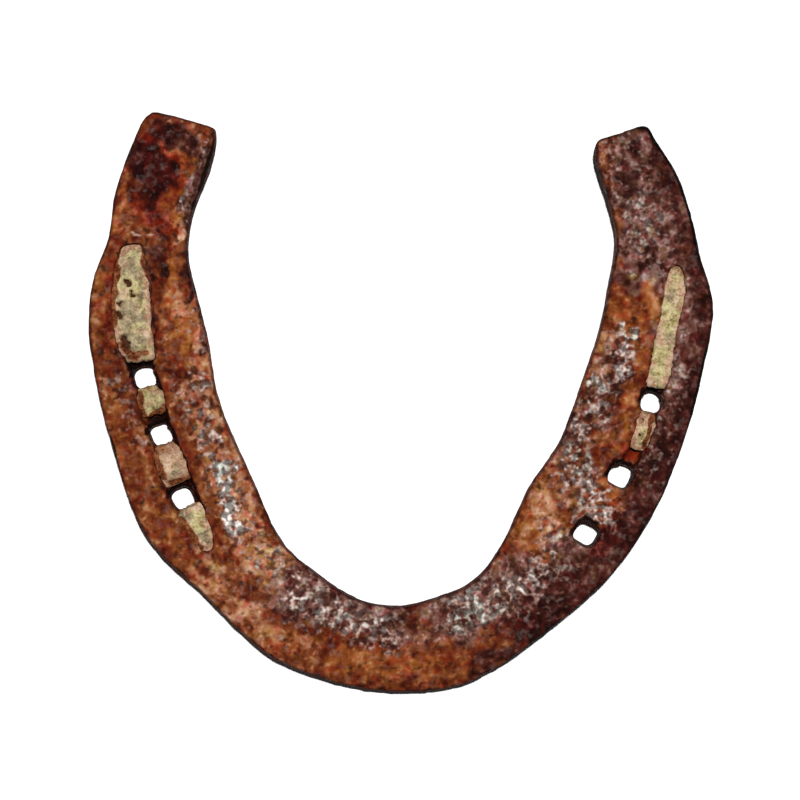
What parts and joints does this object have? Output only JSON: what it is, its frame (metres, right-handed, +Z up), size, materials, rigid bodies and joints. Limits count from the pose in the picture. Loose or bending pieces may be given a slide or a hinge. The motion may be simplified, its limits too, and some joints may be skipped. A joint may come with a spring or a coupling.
{
  "type": "horseshoe",
  "caption": "Old forged horseshoe, worn and rusted: a bowed U-shaped bar with nail creases on both branches, square nail holes, and dried earth packed in the creases.",
  "frame": {"origin": "middle of the footprint, on the surface that the shoe lies on, which is the plane of its hoof face", "axes": "+Z up out of the creased ground face, +Y towards the heels (the open end), +X towards the branch with the narrower crease"},
  "size_m": [0.145, 0.1346, 0.009],
  "materials": {
    "rusted_iron": "heavily rusted, pitted, with a dull sheen and pale worn specks",
    "dry_earth": "dry, crumbly and dull"
  },
  "bodies": {
    "root": {"horseshoe_iron": "rusted_iron", "packed_earth_left_heel": "dry_earth", "packed_earth_left_nails_1_2": "dry_earth", "packed_earth_left_nails_2_3": "dry_earth", "packed_earth_left_toe": "dry_earth", "packed_earth_right_heel": "dry_earth", "packed_earth_right_nails_1_2": "dry_earth"}
  },
  "joints": []
}
